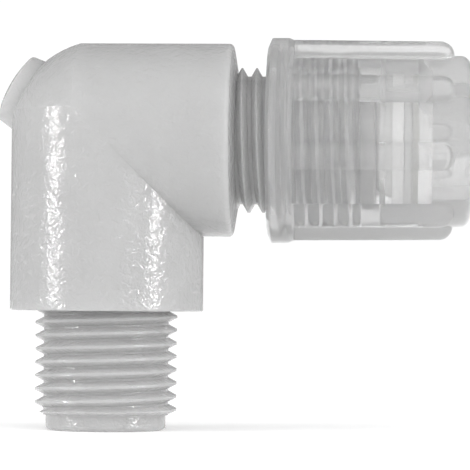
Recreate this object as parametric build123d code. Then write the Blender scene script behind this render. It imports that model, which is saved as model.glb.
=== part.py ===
from build123d import *

import math
import os

# Right-angle male elbow fitting for plastic tube, with its union nut and clamp rings.
#
# Frame: +Z runs up the pipe-thread leg, +X runs out of the tube port, and the origin is where the
# pipe thread's axis meets the flat shoulder that seats on the ported part. Lengths are millimetres.
# Shapes on the tube port are built about +Z, with their heights read as X, and then laid over.

# ---------------------------------------------------------------- elbow body
LEG_R = 6.62                 # outside radius of both legs
CORNER_OUT = 0.26            # the sphere that rounds off their mitre stands this far outside it
PORT_Z = 11.75               # height of the tube port's axis above the shoulder
LEG_END_X = 8.97             # where the tube leg's round end meets its thread
LEG_END_LEAN = 0.38          # how far that end face leans back at its rim
LEG_END_FILLET = 0.3
SHOULDER_FILLET = 0.1
FLOW_R = 1.7                 # waterway through both legs
STOP_X = 14.4                # the tube butts against this face
SOCKET_R = 3.05              # bore for the 6 mm tube
NOSE_X = 18.4                # free end of the tube leg
NOSE_CHAMFER = 0.15
CONE_RISE = 0.9              # the nose's sealing cone opens this much wider than the socket
CONE_HALF_ANGLE = 30.0

# gate pad: the round boss that moulding leaves on the outer corner
PAD_ANGLE = 29.0             # above -X, seen from the point where the two legs' axes cross
PAD_HEIGHT = 0.84            # its face stands this far off the corner's sphere
PAD_RIM_R = 2.46
PAD_TAPER = 8.0              # side slope, degrees
PAD_FILLET = 0.15

# ---------------------------------------------------------------- pipe thread, G 1/8
PIPE_PITCH = 0.907
PIPE_MAJOR_R = 9.728 / 2
PIPE_MINOR_R = 8.566 / 2
PIPE_FLANK = 27.5
PIPE_CREST_FLAT = 0.151
PIPE_ROOTED = 0.8            # the ridge runs on this far inside the shoulder
PIPE_LENGTH = 7.1            # from the shoulder to the plain nose
PIPE_CREST_UP = 0.376        # from there up to a crest on the +X side
PIPE_NOSE_LENGTH = 1.04
PIPE_NOSE_STEP = 0.163       # the plain nose is this much slimmer than the thread's root
PIPE_NOSE_FILLET = 0.35
PIPE_RUN_OUT = 0.35          # over which the ridge grows from nothing at each end
SEAT_STEP = 0.116            # the shoulder's flat seat starts this far outside the thread
SEAT_RELIEF = 0.12           # and the face inside it lies this much deeper
FLOW_CHAMFER = 0.3

# ---------------------------------------------------------------- nut thread, M10 x 1
NUT_PITCH = 1.0
SOCKET_WALL = 1.337          # from the socket to the root of the leg's thread
THREAD_DEPTH = 0.583
NUT_FLANK = 30.0
NUT_CREST_FLAT = 0.1
MALE_ROOTED = 1.35           # the leg's ridge starts this far inside its end face
NOSE_PLAIN = 0.95            # and at its nose
THREAD_GAP = 0.12            # between the two threads, measured across the radius
NUT_RUN_OUT = 0.3

# ---------------------------------------------------------------- union nut
NUT_BACK = 2.07              # from the leg's end to the nut's open face, as drawn
FLANGE_RISE = 1.19           # outside the barrel at its far end
FLANGE_LENGTH = 1.78
FLANGE_FRONT_RIM = 0.6       # radial width of the front face's sloped rim
FLANGE_FRONT_LEAN = 0.26
FLANGE_BACK_RIM = 0.16
FLANGE_BACK_LEAN = 0.38
NUT_WALL = 0.74              # from the thread bore to the barrel between the ribs, far end
RIB_COUNT = 8
RIB_R = 0.95
RIB_OUT = 0.07               # how far outside the barrel the ribs' round section is centred
RIB_PHASE = 13.0             # first rib's angle below the horizontal, seen from -Y
RIB_STOP = 2.04              # centre of each rib's ball end, back from the nut's end
NUT_DRAFT = 0.46             # degrees that barrel and ribs widen towards the flange
NUT_END_FILLET = 0.62
END_WALL = 2.57
HOLE_CHAMFER = 0.3
ENTRY_CHAMFER = 0.35
FEMALE_ENTRY = 0.65          # from the open face to the thread
FEMALE_LENGTH = 5.7
UNDERCUT_GAP = 0.2           # from the leg's thread to the ring cavity, hand tight
CAVITY_STEP = 0.37           # the ring cavity is this much narrower than the thread bore
CAVITY_CONE_LENGTH = 0.95
CAVITY_LAND = 0.65           # flat left around the tube hole inside the end wall

# ---------------------------------------------------------------- clamp rings
TIGHTEN_TURNS = 1.0          # from as drawn to hand tight
SEAT_GAP = 0.05              # left between the ferrule and its cone when hand tight
RING_GAP = 0.17              # radial gap from the rings to the nut's cavity
WALL_GAP = 0.05              # from the last ring to the nut's end wall
TUBE_GAP = 0.05              # holes that only pass the tube are this much wider than the socket
FERRULE_COLLAR = 0.8         # lengths along the port
WASHER_LENGTH = 0.58
GRIP_LENGTH = 0.54
THRUST_LENGTH = 0.75
FERRULE_LIP = 0.25           # wall left at the ferrule's tip
GRIP_BITE = 0.15             # the grip ring's teeth reach this far inside the socket's bore
GRIP_TOOTH = 0.28            # depth of the teeth
GRIP_TEETH = 2
GRIP_SLOT = 0.6              # lets the grip ring close on the tube
RING_EDGE = 0.08

EMBED = 0.06                 # how deep a thread ridge is rooted in its core
OVERCUT = 1.0                # how far a cutting shape runs past the face it opens

# ---------------------------------------------------------------- worked out
port_origin = Vector(0, 0, PORT_Z)
along_port = Plane(origin=port_origin, x_dir=(0, 1, 0), z_dir=(1, 0, 0))
cone_slope = math.tan(math.radians(CONE_HALF_ANGLE))
draft_slope = math.tan(math.radians(NUT_DRAFT))

corner_r = LEG_R + CORNER_OUT
pipe_top_z = PIPE_ROOTED
pipe_bottom_z = -PIPE_LENGTH
pipe_tip_z = pipe_bottom_z - PIPE_NOSE_LENGTH
pipe_nose_r = PIPE_MINOR_R - PIPE_NOSE_STEP
seat_inner_r = PIPE_MAJOR_R + SEAT_STEP

male_root_r = SOCKET_R + SOCKET_WALL
male_crest_r = male_root_r + THREAD_DEPTH
male_low_x = LEG_END_X - MALE_ROOTED
first_crest_x = male_low_x + NUT_PITCH / 3
male_high_x = NOSE_X - NOSE_PLAIN
cone_mouth_r = SOCKET_R + CONE_RISE

travel = TIGHTEN_TURNS * NUT_PITCH
nut_x = LEG_END_X + NUT_BACK
female_root_r = male_crest_r + THREAD_GAP
female_crest_r = male_root_r + THREAD_GAP
bore_end_x = male_high_x + travel + UNDERCUT_GAP
cavity_r = female_root_r - CAVITY_STEP
hole_r = SOCKET_R + TUBE_GAP
barrel_r = female_root_r + NUT_WALL
flange_r = barrel_r + FLANGE_RISE

collar_x = NOSE_X + travel + SEAT_GAP
washer_x = collar_x + FERRULE_COLLAR
grip_x = washer_x + WASHER_LENGTH
thrust_x = grip_x + GRIP_LENGTH
thrust_end_x = thrust_x + THRUST_LENGTH
end_wall_x = thrust_end_x + WALL_GAP
nut_end_x = end_wall_x + END_WALL
cavity_end_r = hole_r + CAVITY_LAND


def turned(points):
    """A solid of revolution about +Z from a closed outline of (radius, height) points."""
    outline = Polyline(*[(radius, 0, height) for radius, height in points], close=True)
    return revolve(make_face(outline), Axis.Z)


def on_port(shape):
    """Lay a shape built about +Z onto the tube port's axis."""
    return along_port.location * shape


def circles_at(shape, height, radius):
    """The shape's circular edges about +Z at one height and radius."""
    rings = shape.edges().filter_by(GeomType.CIRCLE)
    return [
        ring
        for ring in rings
        if abs(ring.arc_center.Z - height) < 1e-4 and abs(ring.radius - radius) < 1e-4
    ]


def thread_ridge(root_r, crest_r, pitch, flank, crest_flat, turns, first):
    """One right-hand helical ridge about +Z, centred at height first where it starts."""
    slope = math.tan(math.radians(flank))
    outward = 1 if crest_r > root_r else -1
    sunk_r = root_r - outward * EMBED
    half_sunk = crest_flat / 2 + abs(crest_r - sunk_r) * slope
    profile = Polyline(
        (sunk_r, 0, first - half_sunk),
        (crest_r, 0, first - crest_flat / 2),
        (crest_r, 0, first + crest_flat / 2),
        (sunk_r, 0, first + half_sunk),
        close=True,
    )
    path = Helix(pitch, turns * pitch, sunk_r, center=(0, 0, first))
    return sweep(make_face(profile), path=path, is_frenet=True)


def threaded(core, profile, low, high, crest_at, fade):
    """A core with one ridge between two heights that fades into it at both ends.

    profile is the ridge's root radius, crest radius, pitch, flank angle and crest flat. At zero
    angle its crests lie whole pitches from crest_at. The sweep runs past both heights, so that its
    blunt ends are cut away.
    """
    root_r, crest_r, pitch = profile[:3]
    first = crest_at + math.floor((low - pitch / 2 - crest_at) / pitch) * pitch
    turns = math.ceil((high + pitch / 2 - first) / pitch)
    ridge = thread_ridge(*profile, turns, first)
    outward = 1 if crest_r > root_r else -1
    sunk_r = root_r - 2 * outward * EMBED
    past_r = crest_r + outward * EMBED
    keep = turned([(sunk_r, low), (past_r, low + fade), (past_r, high - fade), (sunk_r, high)])
    return core + (ridge & keep)


def pipe_spigot():
    """The G 1/8 thread below the shoulder, with its plain nose."""
    inside_z = pipe_top_z + EMBED
    core = turned([(0, inside_z), (PIPE_MINOR_R, inside_z), (PIPE_MINOR_R, pipe_bottom_z),
                   (pipe_nose_r, pipe_bottom_z), (pipe_nose_r, pipe_tip_z), (0, pipe_tip_z)])
    core = fillet(circles_at(core, pipe_tip_z, pipe_nose_r), PIPE_NOSE_FILLET)
    profile = (PIPE_MINOR_R, PIPE_MAJOR_R, PIPE_PITCH, PIPE_FLANK, PIPE_CREST_FLAT)
    crest_z = pipe_bottom_z + PIPE_CREST_UP
    return threaded(core, profile, pipe_bottom_z, pipe_top_z, crest_z, PIPE_RUN_OUT)


def gate_pad():
    """The round boss on the outer corner, its face part of a sphere about the legs' crossing."""
    face_r = corner_r + PAD_HEIGHT
    rim_z = math.sqrt(face_r ** 2 - PAD_RIM_R ** 2)
    half_turn = math.asin(PAD_RIM_R / face_r) / 2
    foot = corner_r - PAD_RIM_R
    foot_r = PAD_RIM_R + (rim_z - foot) * math.tan(math.radians(PAD_TAPER))
    sides = Polyline((0, 0, face_r), (0, 0, foot), (foot_r, 0, foot), (PAD_RIM_R, 0, rim_z))
    dome_middle = (face_r * math.sin(half_turn), 0, face_r * math.cos(half_turn))
    dome = ThreePointArc((PAD_RIM_R, 0, rim_z), dome_middle, (0, 0, face_r))
    boss = revolve(make_face(sides + dome), Axis.Z)
    boss = fillet(circles_at(boss, rim_z, PAD_RIM_R), PAD_FILLET)
    lean = math.radians(PAD_ANGLE)
    facing = Plane(origin=port_origin, x_dir=(0, 1, 0), z_dir=(-math.cos(lean), 0, math.sin(lean)))
    return facing.location * boss


def corner():
    """Where the two legs cross: both cylinders in common, rounded off by a sphere."""
    upright = Cylinder(LEG_R, 2 * corner_r)
    return Location(port_origin) * (upright & Rotation(0, 90, 0) * upright & Sphere(corner_r))


def tube_leg():
    """The horizontal leg: plain barrel, leaning end face, M10 thread and nose, about +Z."""
    rim_x = LEG_END_X - LEG_END_LEAN
    barrel = turned([(0, 0), (LEG_R, 0), (LEG_R, rim_x), (male_root_r, LEG_END_X), (male_root_r, NOSE_X),
                     (0, NOSE_X)])
    barrel = fillet(circles_at(barrel, rim_x, LEG_R), LEG_END_FILLET)
    barrel = chamfer(circles_at(barrel, NOSE_X, male_root_r), NOSE_CHAMFER)
    profile = (male_root_r, male_crest_r, NUT_PITCH, NUT_FLANK, NUT_CREST_FLAT)
    return threaded(barrel, profile, male_low_x, male_high_x, first_crest_x, NUT_RUN_OUT)


def tube_leg_hollow():
    """Waterway, tube socket and sealing cone of the tube leg, about +Z."""
    cone_x = NOSE_X - CONE_RISE / cone_slope
    past_x = NOSE_X + OVERCUT
    past_r = cone_mouth_r + OVERCUT * cone_slope
    return turned([(0, 0), (FLOW_R, 0), (FLOW_R, STOP_X), (SOCKET_R, STOP_X), (SOCKET_R, cone_x),
                   (past_r, past_x), (0, past_x)])


def elbow_body():
    """The moulded elbow, one solid."""
    upright = turned([(0, 0), (LEG_R, 0), (LEG_R, PORT_Z), (0, PORT_Z)])
    upright = fillet(circles_at(upright, 0, LEG_R), SHOULDER_FILLET)
    relief_r = seat_inner_r
    upright -= turned([(0, -OVERCUT), (relief_r, -OVERCUT), (relief_r, SEAT_RELIEF), (0, SEAT_RELIEF)])
    body = upright + corner() + on_port(tube_leg()) + gate_pad() + pipe_spigot()
    mouth_r = FLOW_R + FLOW_CHAMFER + OVERCUT
    waterway = turned([(0, pipe_tip_z - OVERCUT), (mouth_r, pipe_tip_z - OVERCUT),
                       (FLOW_R, pipe_tip_z + FLOW_CHAMFER), (FLOW_R, PORT_Z), (0, PORT_Z)])
    return body - (waterway + Location(port_origin) * Sphere(FLOW_R) + on_port(tube_leg_hollow()))


def grip_rib():
    """One half-round rib about +Z at zero angle, its foot in the flange and a ball at its end."""
    ball_x = nut_end_x - RIB_STOP
    foot_x = nut_x + FLANGE_LENGTH / 2
    centre_r = barrel_r + RIB_OUT + draft_slope * RIB_STOP
    rod = Cylinder(RIB_R, ball_x - foot_x, align=(Align.CENTER, Align.CENTER, Align.MAX)) + Sphere(RIB_R)
    return Location((centre_r, 0, ball_x)) * Rotation(0, -NUT_DRAFT, 0) * rod


def nut_shell():
    """Flange and drafted barrel of the nut, solid, about +Z."""
    foot_x = nut_x + FLANGE_LENGTH / 2
    foot_r = barrel_r + draft_slope * (nut_end_x - foot_x)
    barrel = turned([(0, foot_x), (foot_r, foot_x), (barrel_r, nut_end_x), (0, nut_end_x)])
    barrel = fillet(circles_at(barrel, nut_end_x, barrel_r), NUT_END_FILLET)
    back = nut_x + FLANGE_LENGTH
    flange = turned([(0, nut_x), (flange_r - FLANGE_FRONT_RIM, nut_x), (flange_r, nut_x + FLANGE_FRONT_LEAN),
                     (flange_r, back - FLANGE_BACK_LEAN), (flange_r - FLANGE_BACK_RIM, back), (0, back)])
    return barrel + flange


def nut_hollow():
    """Thread bore, ring cavity, inner cone and tube hole of the nut, about +Z."""
    entry_r = female_root_r + ENTRY_CHAMFER + OVERCUT
    mouth_r = hole_r + HOLE_CHAMFER + OVERCUT
    return turned([
        (0, nut_x - OVERCUT), (entry_r, nut_x - OVERCUT), (female_root_r, nut_x + ENTRY_CHAMFER),
        (female_root_r, bore_end_x), (cavity_r, bore_end_x + CAVITY_STEP),
        (cavity_r, end_wall_x - CAVITY_CONE_LENGTH), (cavity_end_r, end_wall_x), (hole_r, end_wall_x),
        (hole_r, nut_end_x - HOLE_CHAMFER), (mouth_r, nut_end_x + OVERCUT), (0, nut_end_x + OVERCUT),
    ])


def union_nut():
    """The nut: ribbed outside, M10 thread inside, its ridge in the leg thread's groove."""
    nut = nut_shell()
    for index in range(RIB_COUNT):
        # zero angle is +Y and angles run towards +Z, so -Y is at 180 degrees
        nut += Rotation(0, 0, 180 + RIB_PHASE + index * 360 / RIB_COUNT) * grip_rib()
    profile = (female_root_r, female_crest_r, NUT_PITCH, NUT_FLANK, NUT_CREST_FLAT)
    low = nut_x + FEMALE_ENTRY
    groove_x = first_crest_x + NUT_PITCH / 2
    return on_port(threaded(nut - nut_hollow(), profile, low, low + FEMALE_LENGTH, groove_x, NUT_RUN_OUT))


def sealing_ferrule():
    """Cone that the nut drives into the elbow's nose, with the collar that it is pushed by."""
    tip_r = SOCKET_R + FERRULE_LIP
    tip_x = NOSE_X - (cone_mouth_r - tip_r) / cone_slope + travel + SEAT_GAP
    cone_root_r = tip_r + (collar_x - tip_x) * cone_slope
    ring_r = cavity_r - RING_GAP
    return on_port(turned([
        (SOCKET_R, tip_x), (tip_r, tip_x), (cone_root_r, collar_x), (ring_r - RING_EDGE, collar_x),
        (ring_r, collar_x + RING_EDGE), (ring_r, washer_x - RING_EDGE), (ring_r - RING_EDGE, washer_x),
        (SOCKET_R, washer_x),
    ]))


def spacer_washer():
    """Flat ring between the ferrule and the grip ring."""
    ring_r = cavity_r - 2 * RING_GAP
    return on_port(turned([(hole_r, washer_x), (ring_r, washer_x), (ring_r, grip_x), (hole_r, grip_x)]))


def grip_ring():
    """Split ring whose inner teeth bite the tube."""
    outer_r = cavity_r - 1.5 * RING_GAP
    tooth_r = SOCKET_R - GRIP_BITE
    tooth_length = GRIP_LENGTH / GRIP_TEETH
    outline = [(outer_r, thrust_x), (outer_r, grip_x)]
    for tooth in range(GRIP_TEETH):
        tooth_x = grip_x + tooth * tooth_length
        outline += [(tooth_r + GRIP_TOOTH, tooth_x), (tooth_r, tooth_x + 0.8 * tooth_length)]
    outline.append((tooth_r + GRIP_TOOTH, thrust_x))
    # the slot is at zero angle, and is turned to the top of the port
    slot = Location((outer_r, 0, grip_x)) * Box(2 * (outer_r - tooth_r) + OVERCUT, GRIP_SLOT, 4 * GRIP_LENGTH)
    return on_port(Rotation(0, 0, 90) * (turned(outline) - slot))


def thrust_ring():
    """Ring that fills the nut's inner cone and pushes on the grip ring."""
    rise = (cavity_r - cavity_end_r) / CAVITY_CONE_LENGTH
    back_r = cavity_end_r + rise * WALL_GAP - RING_GAP
    front_r = back_r + rise * THRUST_LENGTH
    return on_port(turned([(hole_r, thrust_x), (front_r, thrust_x), (back_r, thrust_end_x),
                           (hole_r, thrust_end_x)]))


PARTS = {
    "elbow_body": elbow_body,
    "union_nut": union_nut,
    "sealing_ferrule": sealing_ferrule,
    "spacer_washer": spacer_washer,
    "grip_ring": grip_ring,
    "thrust_ring": thrust_ring,
}

os.makedirs("parts", exist_ok=True)
for name, make in PARTS.items():
    export_step(make(), f"parts/{name}.step")
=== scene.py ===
# %% [markdown]
# # A moulded elbow fitting in translucent plastic
# This lesson dresses a small tube fitting: a right-angle body with two threaded ends, a ribbed nut,
# and four rings that the nut holds. The sizes are already settled in a CAD model, so the first step
# loads that model as a fixed frame. Everything in Blender then stands in the same place, in metres.

# %% Load the frame
import math

import bpy
import numpy as np
from mathutils import Matrix, Vector


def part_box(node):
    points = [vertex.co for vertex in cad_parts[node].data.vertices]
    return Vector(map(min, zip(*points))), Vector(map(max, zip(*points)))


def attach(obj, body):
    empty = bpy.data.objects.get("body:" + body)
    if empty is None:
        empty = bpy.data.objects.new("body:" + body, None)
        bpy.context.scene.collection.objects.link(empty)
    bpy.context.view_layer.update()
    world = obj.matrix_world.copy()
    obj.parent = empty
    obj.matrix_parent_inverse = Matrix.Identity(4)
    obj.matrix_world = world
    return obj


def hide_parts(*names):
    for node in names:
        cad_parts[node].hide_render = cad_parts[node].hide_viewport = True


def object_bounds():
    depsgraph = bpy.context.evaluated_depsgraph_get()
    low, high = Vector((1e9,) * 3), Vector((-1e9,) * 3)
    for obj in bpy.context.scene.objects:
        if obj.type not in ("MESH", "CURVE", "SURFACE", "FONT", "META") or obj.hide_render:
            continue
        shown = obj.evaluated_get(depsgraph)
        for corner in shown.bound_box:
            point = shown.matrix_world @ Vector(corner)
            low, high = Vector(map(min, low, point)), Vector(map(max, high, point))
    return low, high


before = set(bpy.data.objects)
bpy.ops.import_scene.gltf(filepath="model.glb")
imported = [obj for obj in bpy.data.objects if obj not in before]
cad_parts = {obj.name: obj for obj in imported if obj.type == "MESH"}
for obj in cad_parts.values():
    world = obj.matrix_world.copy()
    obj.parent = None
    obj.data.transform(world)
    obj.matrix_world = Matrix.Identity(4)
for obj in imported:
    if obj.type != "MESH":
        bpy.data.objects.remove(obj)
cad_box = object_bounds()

MM = 0.001
print("CAD box, mm:", [[round(v / MM, 2) for v in corner] for corner in cad_box])

# %% [markdown]
# ## The camera
# A long lens far away keeps both legs nearly square to the picture. The camera stands a little to
# the tube port's side and a little below the middle of the body, and leans by half a degree. Its
# distance and its field fix the scale, so the lens length is worked out from those two.

# %% Place the camera
AIM = Vector((8.78, 0.0, 5.27)) * MM
CAMERA_DISTANCE = 182 * MM
FIELD_WIDTH = 32.19 * MM
SENSOR_WIDTH = 36.0
NEAREST_SEEN = 5 * MM
CAMERA_TURN, CAMERA_LIFT, CAMERA_LEAN = 3.3, -1.5, 0.5


def toward(azimuth, elevation):
    """Unit vector from the aim point: azimuth turns from -Y towards +X, elevation lifts to +Z."""
    turn, lift = math.radians(azimuth), math.radians(elevation)
    level = math.cos(lift)
    return Vector((math.sin(turn) * level, -math.cos(turn) * level, math.sin(lift)))


def facing(place, target):
    """Matrix of an object at place whose -Z looks at target, with its Y as upright as can be."""
    look = (target - place).to_track_quat("-Z", "Y").to_matrix().to_4x4()
    return Matrix.Translation(place) @ look


camera_data = bpy.data.cameras.new("product_camera")
camera_data.sensor_width = SENSOR_WIDTH
camera_data.lens = SENSOR_WIDTH * CAMERA_DISTANCE / FIELD_WIDTH
camera_data.clip_start = NEAREST_SEEN
camera = bpy.data.objects.new("product_camera", camera_data)
bpy.context.scene.collection.objects.link(camera)
camera_place = AIM + toward(CAMERA_TURN, CAMERA_LIFT) * CAMERA_DISTANCE
lean = Matrix.Rotation(math.radians(CAMERA_LEAN), 4, "Z")
camera.matrix_world = facing(camera_place, AIM) @ lean
bpy.context.scene.camera = camera
print("lens, mm:", round(camera_data.lens, 1))

# %% [markdown]
# ## Floor, backdrop and light
# Clear and milky plastics are lit mostly by what surrounds them. A plain white room would make them
# flat and ghostly, so the room is brighter in front of the fitting than behind it, while the camera
# itself still sees an even white. Two narrow upright lamps in front, one to each side, draw the
# broken bright lines on the round leg. A small third lamp, nearer the middle, adds a little light.

# %% Make a room that is brighter in front than behind
scene = bpy.context.scene
scene.view_settings.view_transform = "Standard"

WHITE = (1.0, 1.0, 1.0, 1.0)
SEEN_WHITE = 1.04
FRONT_GLOW, BACK_GLOW = 1.8, 0.55
FRONT_FROM, BACK_FROM = -0.8, 0.6  # a direction's Y: -1 in front of the fitting, 1 behind it

world = bpy.data.worlds.new("white_room")
scene.world = world
world.use_nodes = True
room = world.node_tree
seen = room.nodes["Background"]
seen.inputs["Color"].default_value = WHITE
seen.inputs["Strength"].default_value = SEEN_WHITE

glow = room.nodes.new("ShaderNodeBackground")
direction = room.nodes.new("ShaderNodeSeparateXYZ")
looking = room.nodes.new("ShaderNodeTexCoord").outputs["Generated"]
room.links.new(looking, direction.inputs["Vector"])
depth = room.nodes.new("ShaderNodeMapRange")
depth.interpolation_type = "SMOOTHSTEP"
room.links.new(direction.outputs["Y"], depth.inputs["Value"])
depth.inputs["From Min"].default_value = FRONT_FROM
depth.inputs["From Max"].default_value = BACK_FROM
depth.inputs["To Min"].default_value = FRONT_GLOW
depth.inputs["To Max"].default_value = BACK_GLOW
room.links.new(depth.outputs["Result"], glow.inputs["Strength"])

ray = room.nodes.new("ShaderNodeLightPath")
choose = room.nodes.new("ShaderNodeMixShader")
room.links.new(ray.outputs["Is Camera Ray"], choose.inputs["Fac"])
room.links.new(glow.outputs["Background"], choose.inputs[1])
room.links.new(seen.outputs["Background"], choose.inputs[2])
room.links.new(choose.outputs["Shader"], room.nodes["World Output"].inputs["Surface"])
print(f"room: {FRONT_GLOW} in front, {BACK_GLOW} behind, {SEEN_WHITE} as seen")

# %% Lay the floor
FLOOR_HALF = 0.9
FLOOR_GLOW = 0.22
FLOOR_WHITE = (0.98, 0.98, 0.98, 1.0)
FLOOR_ROUGHNESS, FLOOR_SHINE = 0.9, 0.1
floor_z = cad_box[0][2]
floor_mesh = bpy.data.meshes.new("studio_floor")
corners = np.array([(-1, -1), (1, -1), (1, 1), (-1, 1)]) * FLOOR_HALF
floor_mesh.from_pydata([(x, y, floor_z) for x, y in corners], [], [(0, 1, 2, 3)])
floor = bpy.data.objects.new("studio_floor", floor_mesh)
scene.collection.objects.link(floor)

floor_paint = bpy.data.materials.new("pale_floor")
floor_paint.use_nodes = True
floor_shader = floor_paint.node_tree.nodes["Principled BSDF"]
floor_shader.inputs["Base Color"].default_value = FLOOR_WHITE
floor_shader.inputs["Roughness"].default_value = FLOOR_ROUGHNESS
floor_shader.inputs["Emission Color"].default_value = WHITE
floor_shader.inputs["Emission Strength"].default_value = FLOOR_GLOW
floor_shader.inputs["Specular IOR Level"].default_value = FLOOR_SHINE
floor_mesh.materials.append(floor_paint)
print("floor at z, mm:", round(floor_z / MM, 2))

# %% Hang the lamps
LAMP_DISTANCE = 0.30
STRIP_WIDTH, STRIP_HEIGHT = 0.012, 0.110
DOT_WIDTH = 0.012


def panel_lamp(name, azimuth, elevation, width, height, watts):
    """A rectangular lamp of that many watts that faces the fitting from one direction."""
    data = bpy.data.lights.new(name, "AREA")
    data.shape = "RECTANGLE"
    data.size, data.size_y = width, height
    data.energy = watts
    lamp = bpy.data.objects.new(name, data)
    scene.collection.objects.link(lamp)
    lamp.matrix_world = facing(AIM + toward(azimuth, elevation) * LAMP_DISTANCE, AIM)
    radiance = watts / (math.pi * width * height)
    print(f"{name}: {watts} W, radiance {radiance:.0f}")


panel_lamp("left_strip", -61.0, 6.0, STRIP_WIDTH, STRIP_HEIGHT, 0.38)
panel_lamp("right_strip", 62.0, 6.0, STRIP_WIDTH, STRIP_HEIGHT, 0.40)
panel_lamp("dot_lamp", 33.0, 12.0, DOT_WIDTH, DOT_WIDTH, 0.08)

# %% [markdown]
# ## Surfaces from arrays
# Every new piece here is a ring of some kind: walk once round its cut outline, and once round the
# axis, and the whole skin is covered. So a piece is a grid of points that closes on itself both
# ways, worked out as whole arrays. One function turns such a grid into a mesh.

# %% Grid to mesh
port_low, port_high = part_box("union_nut")
PORT_Z = (port_low.z + port_high.z) / 2
BIG_ROUNDING, BIG_ARC_POINTS, SMALL_ARC_POINTS = 0.2, 7, 4


def closed_grid(name, points, crease_degrees=28.0):
    """A mesh from an array (rows, columns, 3) that closes both ways, like the skin of a ring.

    Each quad joins point (i, j) to its neighbours (i, j + 1), (i + 1, j + 1) and (i + 1, j), with
    both counts wrapped. It faces outwards when the rows follow an outline that runs clockwise with x
    drawn to the right and radius drawn upwards, and the columns follow the angle of around_port.
    """
    rows, columns = points.shape[:2]
    count = np.arange(rows * columns).reshape(rows, columns)
    down, across = np.roll(count, -1, axis=0), np.roll(count, -1, axis=1)
    both = np.roll(down, -1, axis=1)
    quads = np.stack([count, across, both, down], axis=-1).reshape(-1, 4)
    mesh = bpy.data.meshes.new(name)
    mesh.vertices.add(rows * columns)
    mesh.vertices.foreach_set("co", points.reshape(-1))
    mesh.loops.add(quads.size)
    mesh.loops.foreach_set("vertex_index", quads.reshape(-1))
    mesh.polygons.add(len(quads))
    mesh.polygons.foreach_set("loop_start", np.arange(0, quads.size, 4))
    mesh.update(calc_edges=True)
    mesh.validate()
    mesh.polygons.foreach_set("use_smooth", np.ones(len(quads), dtype=bool))
    mesh.set_sharp_from_angle(angle=math.radians(crease_degrees))
    piece = bpy.data.objects.new(name, mesh)
    scene.collection.objects.link(piece)
    corner = points.reshape(-1, 3)
    print(f"{name}: {rows} x {columns} points, {len(quads) * 2} triangles, mm",
          np.round(corner.min(0) / MM, 2), np.round(corner.max(0) / MM, 2))
    return piece


def outline(corners):
    """A closed cut outline from corners (x, radius, rounding, points on the run that follows).

    A rounded corner becomes an arc: its tangent points lie rounding / tan(half the corner's angle)
    from the corner, and the arc is swept between them. Returns arrays of x and of radius.
    """
    pieces = []
    for index, (x, r, rounding, run) in enumerate(corners):
        here = np.array([x, r], float)
        before = np.array(corners[index - 1][:2], float) - here
        after = np.array(corners[(index + 1) % len(corners)][:2], float) - here
        a, b = before / np.linalg.norm(before), after / np.linalg.norm(after)
        if rounding:
            half = math.acos(np.clip(a @ b, -1, 1)) / 2
            middle = here + (a + b) / np.linalg.norm(a + b) * rounding / math.sin(half)
            start, end = here + a * rounding / math.tan(half), here + b * rounding / math.tan(half)
            count = BIG_ARC_POINTS if rounding > BIG_ROUNDING else SMALL_ARC_POINTS
            t = np.linspace(0, 1, count)[:, None]
            chord = start + (end - start) * t - middle
            arc = middle + chord / np.linalg.norm(chord, axis=1)[:, None] * rounding
        else:
            arc, end = here[None], here
        following = corners[(index + 1) % len(corners)]
        share = np.linspace(0, 1, run + 1)[1:, None]
        target = np.array(following[:2], float)
        if following[2]:
            back = end - target
            far = np.array(corners[(index + 2) % len(corners)][:2], float) - target
            cosine = back @ far / np.linalg.norm(back) / np.linalg.norm(far)
            half = math.acos(np.clip(cosine, -1, 1)) / 2
            target = target + back / np.linalg.norm(back) * following[2] / math.tan(half)
        straight = end + (target - end) * share
        pieces += [arc, straight[:-1]]
    line = np.concatenate(pieces)
    return line[:, 0] * MM, line[:, 1] * MM


def around_port(x, r, angle):
    """Points (x, -r cos(angle), port height - r sin(angle)), in metres.

    x runs along the port's axis and r is the distance from it. Angle 0 faces -Y and turns to -Z.
    """
    return np.stack([x + 0 * angle, -r * np.cos(angle), PORT_Z - r * np.sin(angle)], axis=-1)


# %% [markdown]
# ## Shared surface effects
# Three effects turn up on every moulded piece, so each is one node group with named inputs. The
# first is orange peel, the fine waviness that makes a highlight break into glints. The second is
# flow, the faint cloudiness left where the melt ran. The third is handling, the scuffs that dull
# the gloss in patches. Groups put out only heights and masks, and the shader stays in the material.

# %% Build the effect groups


def new_group(name, inputs, outputs):
    """An empty shader group with float inputs (name, default) and outputs (name)."""
    group = bpy.data.node_groups.new(name, "ShaderNodeTree")
    for socket, default in inputs:
        made = group.interface.new_socket(socket, in_out="INPUT", socket_type="NodeSocketFloat")
        made.default_value = default
    for socket in outputs:
        group.interface.new_socket(socket, in_out="OUTPUT", socket_type="NodeSocketFloat")
    return group, group.nodes.new("NodeGroupInput"), group.nodes.new("NodeGroupOutput")


def math_node(tree, operation, first, second, clamp=False):
    """A Math node whose operands are sockets or plain numbers; returns its output socket."""
    node = tree.nodes.new("ShaderNodeMath")
    node.operation, node.use_clamp = operation, clamp
    for socket, value in zip(node.inputs, (first, second)):
        if isinstance(value, (int, float)):
            socket.default_value = value
        else:
            tree.links.new(value, socket)
    return node.outputs[0]


def noise_node(tree, where, scale, detail, roughness=0.5, distortion=0.0):
    """A Noise node read at a vector socket; scale may be a number or a socket."""
    node = tree.nodes.new("ShaderNodeTexNoise")
    tree.links.new(where, node.inputs["Vector"])
    if isinstance(scale, (int, float)):
        node.inputs["Scale"].default_value = scale
    else:
        tree.links.new(scale, node.inputs["Scale"])
    node.inputs["Detail"].default_value = detail
    node.inputs["Roughness"].default_value = roughness
    node.inputs["Distortion"].default_value = distortion
    return node.outputs["Fac"]


FINE_TIMES = 3.1
SCUFF_LOW, SCUFF_HIGH = 0.35, 0.65

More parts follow.
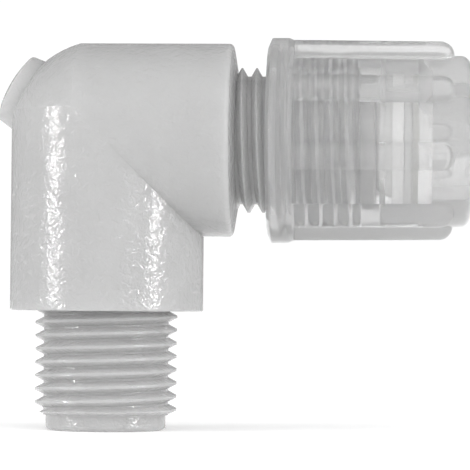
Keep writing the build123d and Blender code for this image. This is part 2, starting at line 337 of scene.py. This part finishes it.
orange_peel, peel_in, peel_out = new_group(
    "orange_peel", [("Cells per metre", 1500.0), ("Fine share", 0.25)], ["Height"])
peel_where = orange_peel.nodes.new("ShaderNodeTexCoord").outputs["Object"]
coarse = noise_node(orange_peel, peel_where, peel_in.outputs["Cells per metre"], 1.0, 0.4, 0.6)
fine_scale = math_node(orange_peel, "MULTIPLY", peel_in.outputs["Cells per metre"], FINE_TIMES)
fine = noise_node(orange_peel, peel_where, fine_scale, 1.0)
fine_part = math_node(orange_peel, "MULTIPLY", fine, peel_in.outputs["Fine share"])
orange_peel.links.new(math_node(orange_peel, "ADD", coarse, fine_part), peel_out.inputs["Height"])

melt_flow, flow_in, flow_out = new_group(
    "melt_flow", [("Clouds per metre", 160.0), ("Contrast", 1.0)], ["Cloud"])
flow_where = melt_flow.nodes.new("ShaderNodeTexCoord").outputs["Object"]
cloud = noise_node(melt_flow, flow_where, flow_in.outputs["Clouds per metre"], 3.0, 0.5, 1.2)
centred = math_node(melt_flow, "SUBTRACT", cloud, 0.5)
spread = math_node(melt_flow, "MULTIPLY", centred, flow_in.outputs["Contrast"])
melt_flow.links.new(math_node(melt_flow, "ADD", spread, 0.5, clamp=True), flow_out.inputs["Cloud"])

handling, wear_in, wear_out = new_group(
    "handling", [("Scuffs per metre", 420.0), ("Least", 0.25), ("Most", 0.4)], ["Roughness"])
wear_where = handling.nodes.new("ShaderNodeTexCoord").outputs["Object"]
scuffs = noise_node(handling, wear_where, wear_in.outputs["Scuffs per metre"], 4.0, 0.6)
wear_range = handling.nodes.new("ShaderNodeMapRange")
handling.links.new(scuffs, wear_range.inputs["Value"])
wear_range.inputs["From Min"].default_value = SCUFF_LOW
wear_range.inputs["From Max"].default_value = SCUFF_HIGH
handling.links.new(wear_in.outputs["Least"], wear_range.inputs["To Min"])
handling.links.new(wear_in.outputs["Most"], wear_range.inputs["To Max"])
handling.links.new(wear_range.outputs["Result"], wear_out.inputs["Roughness"])
print("effect groups:", [group.name for group in bpy.data.node_groups])

# %% [markdown]
# ## The plastics
# Natural polymer isn't clear and isn't white: light enters, scatters and comes out again nearby.
# A Principled shader gives that with two shares, transmission for what passes straight on and
# subsurface for what scatters near the skin. A volume then adds the haze that light meets deeper in.
# One function makes each grade, and the colour varies a little with the melt's clouds. The nut alone
# also wears a thin coat. Light has to bounce often inside a haze before it gets out, so the scene's
# bounce limits are raised too.

# %% Make the plastics
UM = 1e-6
CLOUDS_PER_METRE, CLOUD_CONTRAST = 150.0, 1.6


def use_group(tree, group, **values):
    """Place a shader group in a material and set its inputs, with _ in a name read as a space."""
    node = tree.nodes.new("ShaderNodeGroup")
    node.node_tree = group
    for name, value in values.items():
        node.inputs[name.replace("_", " ")].default_value = value
    return node


def milky_plastic(name, thin, thick, clear, scatter_mm, gloss, peel_um, cells, murk=0.0, ior=1.4,
                  tint=(0.99, 0.99, 0.985), forward=0.4):
    """A translucent moulded polymer.

    thin and thick are the colours of the lighter and darker clouds, clear is the share of light that
    passes straight on, scatter_mm how far the rest spreads, and gloss the least and most roughness.
    peel_um is the waviness's height and cells how many waves there are to a metre. murk is how often,
    per millimetre, a haze inside the plastic turns the light aside; tint is what the haze gives back
    each time and forward how much it keeps the light going on.
    """
    material = bpy.data.materials.new(name)
    material.use_nodes = True
    tree = material.node_tree
    shader = tree.nodes["Principled BSDF"]
    cloud = use_group(tree, melt_flow, Clouds_per_metre=CLOUDS_PER_METRE,
                      Contrast=CLOUD_CONTRAST)
    ramp = tree.nodes.new("ShaderNodeValToRGB")
    ramp.color_ramp.elements[0].color = (*thick, 1.0)
    ramp.color_ramp.elements[1].color = (*thin, 1.0)
    tree.links.new(cloud.outputs["Cloud"], ramp.inputs["Fac"])
    tree.links.new(ramp.outputs["Color"], shader.inputs["Base Color"])
    wear = use_group(tree, handling, Least=gloss[0], Most=gloss[1])
    tree.links.new(wear.outputs["Roughness"], shader.inputs["Roughness"])
    peel = use_group(tree, orange_peel, Cells_per_metre=cells)
    bump = tree.nodes.new("ShaderNodeBump")
    bump.inputs["Distance"].default_value = peel_um * UM
    tree.links.new(peel.outputs["Height"], bump.inputs["Height"])
    tree.links.new(bump.outputs["Normal"], shader.inputs["Normal"])
    shader.inputs["IOR"].default_value = ior
    shader.inputs["Transmission Weight"].default_value = clear
    shader.inputs["Subsurface Weight"].default_value = 1.0
    shader.inputs["Subsurface Radius"].default_value = (1.0, 1.0, 1.0)
    shader.inputs["Subsurface Scale"].default_value = scatter_mm * MM
    if murk:
        haze = tree.nodes.new("ShaderNodeVolumePrincipled")
        haze.inputs["Color"].default_value = (*tint, 1.0)
        haze.inputs["Density"].default_value = murk / MM
        haze.inputs["Anisotropy"].default_value = forward
        tree.links.new(haze.outputs["Volume"], tree.nodes["Material Output"].inputs["Volume"])
    return material


# %% Mix the four grades
SKIN_COAT, SKIN_COAT_ROUGHNESS = 0.2, 0.03
VOLUME_BOUNCES, ALL_BOUNCES = 12, 24

body_plastic = milky_plastic(
    "moulded_body_plastic", thin=(0.58, 0.58, 0.58), thick=(0.52, 0.52, 0.52), clear=0.45,
    scatter_mm=3.0, gloss=(0.06, 0.09), peel_um=60, cells=2400.0, murk=0.25, ior=1.45)
nut_plastic = milky_plastic(
    "moulded_nut_plastic", thin=(0.98, 0.98, 0.98), thick=(0.95, 0.95, 0.95), clear=0.93,
    scatter_mm=1.5, gloss=(0.06, 0.10), peel_um=6, cells=1100.0, murk=0.20, ior=1.3,
    tint=(0.80, 0.80, 0.80))
nut_shader = nut_plastic.node_tree.nodes["Principled BSDF"]
nut_shader.inputs["Coat Weight"].default_value = SKIN_COAT
nut_shader.inputs["Coat Roughness"].default_value = SKIN_COAT_ROUGHNESS
ring_plastic = milky_plastic(
    "turned_ring_plastic", thin=(0.95, 0.95, 0.94), thick=(0.90, 0.90, 0.89), clear=0.05,
    scatter_mm=1.0, gloss=(0.2, 0.3), peel_um=5, cells=2500.0)
grip_plastic = milky_plastic(
    "hard_grip_plastic", thin=(0.60, 0.60, 0.58), thick=(0.50, 0.50, 0.48), clear=0.1,
    scatter_mm=0.6, gloss=(0.25, 0.35), peel_um=5, cells=2500.0)
scene.cycles.volume_bounces = VOLUME_BOUNCES
scene.cycles.max_bounces = ALL_BOUNCES
print("plastics:", [grade.name for grade in (body_plastic, nut_plastic, ring_plastic, grip_plastic)])

# %% [markdown]
# ## The union nut
# The nut is a ring whose outer radius changes with the angle: eight raised half-round ribs, each
# ending in a ball. Inside, one long ridge winds round as the thread. Both are radius functions of
# the place along the axis and the angle, so one grid carries the flange, barrel, ribs and thread.

# %% Work out the nut's skin
nut_x, nut_end_x = port_low.x / MM, port_high.x / MM
FLANGE_R = (port_high.y - port_low.y) / 2 / MM
FLANGE_LENGTH, FACE_CHAMFER_X, FACE_CHAMFER_R = 1.78, 0.26, 0.6
BACK_CHAMFER_X, BACK_CHAMFER_R = 0.38, 0.16
FLANGE_END = nut_x + FLANGE_LENGTH
BARREL_R, DRAFT_DEGREES, END_ROUNDING = 5.83, 0.46, 0.62
DRAFT = math.tan(math.radians(DRAFT_DEGREES))
RIB_COUNT, RIB_R, RIB_PHASE = 8, 0.95, 13.0
BALL_BACK, RIB_LIFT, FOOT_BLEND = 2.04, 0.07, 0.16
BALL_X = nut_end_x - BALL_BACK
RIB_CENTRE_R = BARREL_R + RIB_LIFT + DRAFT * BALL_BACK
THREAD_BORE_R, PITCH = 5.09, 1.0
THREAD_FROM, THREAD_TO = 0.65, 6.35
THREAD_LOW, THREAD_HIGH = nut_x + THREAD_FROM, nut_x + THREAD_TO
THREAD_DEPTH, THREAD_FLANK, THREAD_FLAT, THREAD_RUN_OUT = 0.583, 30.0, 0.1, 0.3
# the leg's first crest is a third of a pitch past its thread's start, and the nut's ridge runs
# half a pitch from it, in the groove
LEG_THREAD_X = 7.62
CREST_X = LEG_THREAD_X + PITCH / 3 + PITCH / 2
CAVITY_R, CAVITY_FROM_X, BORE_END_X = 4.72, 19.02, 18.65
OUTSIDE_FROM_R = CAVITY_R + 0.5  # outside the thread's bore and inside the barrel's skin
HOLE_R, HOLE_CHAMFER = 3.1, 0.3
END_WALL_X, END_WALL_R, CAVITY_CONE = 22.17, 3.75, 0.95
ENTRY_R = 5.44
POINTS_OVER_RIB, POINTS_BETWEEN = 23, 19
TINY = 1e-6


def soft_max(a, b, blend):
    """The larger of two radii, exactly, but filled with a small fillet where they are nearly equal.

    Where they differ by more than blend it is plainly the larger one, so only the crease changes.
    """
    share = np.clip(0.5 + (a - b) / (2 * blend), 0.0, 1.0)
    return b + (a - b) * share + blend * share * (1 - share) / 2


def ribbed_radius(x, r, angle):
    """Barrel radius r, or the ribs' where they stand higher.

    A rib's section is a circle of radius RIB_R centred RIB_CENTRE_R from the axis. Seen from the
    axis at angle a from its middle, its far side lies at c cos(a) + sqrt(R^2 - c^2 sin^2(a)), and
    past the ball's centre R shrinks to sqrt(R^2 - (x - ball)^2).
    """
    sector = 2 * math.pi / RIB_COUNT
    off = (angle - math.radians(RIB_PHASE) + sector / 2) % sector - sector / 2
    centre = RIB_CENTRE_R + DRAFT * np.maximum(BALL_X - x, 0)
    section = RIB_R ** 2 - np.maximum(x - BALL_X, 0) ** 2 - (centre * np.sin(off)) ** 2
    far_side = np.where(section > 0, centre * np.cos(off) + np.sqrt(np.maximum(section, 0)), 0.0)
    return soft_max(r, far_side, FOOT_BLEND)


def thread_depth(x, angle):
    """Height of a right-hand ridge at x and angle, from 0 in the groove to THREAD_DEPTH on the crest.

    The distance to the nearest crest, measured along the axis, falls off at the flank's slope, and
    the height is held down near both ends of the thread so that the ridge grows out of nothing.
    """
    turn = (x - CREST_X) / PITCH - angle / (2 * math.pi)
    away = np.abs(turn - np.round(turn)) * PITCH - THREAD_FLAT / 2
    fall = np.maximum(away, 0) / math.tan(math.radians(THREAD_FLANK))
    height = np.clip(THREAD_DEPTH - fall, 0, THREAD_DEPTH)
    to_end = np.minimum(x - THREAD_LOW, THREAD_HIGH - x)
    return np.minimum(height, np.clip(to_end / THREAD_RUN_OUT, 0, 1) * THREAD_DEPTH)


# first the flange's face and rim, then the barrel to its far end, and back through the bore
nut_outline = [
    (nut_x, ENTRY_R, 0, 4), (nut_x, FLANGE_R - FACE_CHAMFER_R, 0.1, 3),
    (nut_x + FACE_CHAMFER_X, FLANGE_R, 0.1, 4), (FLANGE_END - BACK_CHAMFER_X, FLANGE_R, 0.08, 3),
    (FLANGE_END, FLANGE_R - BACK_CHAMFER_R, 0.05, 5),
    (FLANGE_END, BARREL_R + DRAFT * (nut_end_x - FLANGE_END), 0, 14),
    (BALL_X - 0.05, BARREL_R + DRAFT * (nut_end_x - BALL_X), 0, 26),
    (BALL_X + RIB_R + 0.03, BARREL_R, 0, 3), (nut_end_x, BARREL_R, END_ROUNDING, 6),
    (nut_end_x, HOLE_R + HOLE_CHAMFER, 0, 3), (nut_end_x - HOLE_CHAMFER, HOLE_R, 0, 6),
    (END_WALL_X, HOLE_R, 0, 3), (END_WALL_X, END_WALL_R, 0, 4),
    (END_WALL_X - CAVITY_CONE, CAVITY_R, 0, 6), (CAVITY_FROM_X, CAVITY_R, 0, 3),
    (BORE_END_X, THREAD_BORE_R, 0, 96), (nut_x + ENTRY_R - THREAD_BORE_R, THREAD_BORE_R, 0, 3),
]
line_x, line_r = (values[:, None] / MM for values in outline(nut_outline))
foot = math.asin(RIB_R / RIB_CENTRE_R)
across_rib = np.sin(np.linspace(-math.pi / 2, math.pi / 2, POINTS_OVER_RIB))
over_rib = np.arcsin(RIB_R / RIB_CENTRE_R * across_rib)
sector = 2 * math.pi / RIB_COUNT
between = np.linspace(foot, sector - foot, POINTS_BETWEEN)[1:-1]
sector_angles = np.concatenate([over_rib, between])
nut_angle = np.concatenate([sector_angles + k * sector for k in range(RIB_COUNT)])
nut_angle = nut_angle[None] + math.radians(RIB_PHASE)

# the thread's turns are counted from +Y, half a turn round from where angle 0 faces
outer_side = (line_x > FLANGE_END - TINY) & (line_r > OUTSIDE_FROM_R)
inner_side = np.abs(line_r - THREAD_BORE_R) < TINY
nut_r = np.where(outer_side, ribbed_radius(line_x, line_r, nut_angle), line_r + 0 * nut_angle)
nut_r = np.where(inner_side, line_r - thread_depth(line_x, nut_angle + math.pi), nut_r)
print(f"nut: {RIB_COUNT} ribs, radius {nut_r.min():.2f} to {nut_r.max():.2f} mm")

# %% Mesh the nut
nut = closed_grid("ribbed_union_nut", around_port(line_x * MM, nut_r * MM, nut_angle))
nut.data.materials.append(nut_plastic)
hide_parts("union_nut")
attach(nut, "nut")

# %% [markdown]
# ## The rings inside the nut
# The nut squeezes a stack of thin rings onto the tube: a cone, a washer, a toothed grip ring and a
# thrust ring. They show through the nut as pale bands, and their broken edges leave small grooves
# between them. A turned ring is a short cut outline carried round the axis, so each is only a list
# of corners. The split grip ring stays the CAD's, since its slot isn't a full turn.

# %% Turn the rings
EDGE, SOFT_EDGE, SHARP_EDGE = 0.06, 0.04, 0.03
RING_POINTS = 192
TUBE_R, RING_HOLE_R = 3.05, 3.1
TIP_R, CONE_FOOT_R, COLLAR_LENGTH = 3.3, 3.95, 0.8
THRUST_NOSE_R = 3.63
ring_angle = np.linspace(0, 2 * math.pi, RING_POINTS, endpoint=False)[None]


def turned_ring(name, node, corners, plastic):
    """A ring whose cut outline (x, radius, rounding, points on the next run) is carried round."""
    x, r = (values[:, None] + 0 * ring_angle for values in outline(corners))
    ring = closed_grid(name, around_port(x, r, ring_angle))
    ring.data.materials.append(plastic)
    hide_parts(node)
    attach(ring, "clamp_rings")


def span(node):
    """A node's ends along the port and its outer radius, in mm."""
    low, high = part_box(node)
    return low.x / MM, high.x / MM, (high.y - low.y) / 2 / MM


tip_x, collar_end_x, collar_r = span("sealing_ferrule")
collar_x = collar_end_x - COLLAR_LENGTH
turned_ring("cone_ferrule", "sealing_ferrule", [
    (tip_x, TUBE_R, 0, 2), (tip_x, TIP_R, SOFT_EDGE, 8), (collar_x, CONE_FOOT_R, SHARP_EDGE, 4),
    (collar_x, collar_r, EDGE, 6), (collar_end_x, collar_r, EDGE, 5),
    (collar_end_x, TUBE_R, SHARP_EDGE, 12)], ring_plastic)
washer_x, washer_end_x, washer_r = span("spacer_washer")
turned_ring("flat_washer", "spacer_washer", [
    (washer_x, RING_HOLE_R, SOFT_EDGE, 5), (washer_x, washer_r, EDGE, 3),
    (washer_end_x, washer_r, EDGE, 5), (washer_end_x, RING_HOLE_R, SOFT_EDGE, 3)],
    ring_plastic)
thrust_x, thrust_end_x, thrust_r = span("thrust_ring")
turned_ring("thrust_cone", "thrust_ring", [
    (thrust_x, RING_HOLE_R, SOFT_EDGE, 5), (thrust_x, thrust_r, EDGE, 3),
    (thrust_end_x, THRUST_NOSE_R, EDGE, 3), (thrust_end_x, RING_HOLE_R, SOFT_EDGE, 4)],
    ring_plastic)

# %% [markdown]
# ## The elbow body
# The body keeps its CAD mesh, because its shape is already right and its normals are smooth. It
# only needs the moulded plastic in its material slot, and so does the split grip ring.

# %% Dress the carried-over parts
for node, finish in (("elbow_body", body_plastic), ("grip_ring", grip_plastic)):
    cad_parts[node].material_slots[0].material = finish
    print(node, "wears", finish.name)
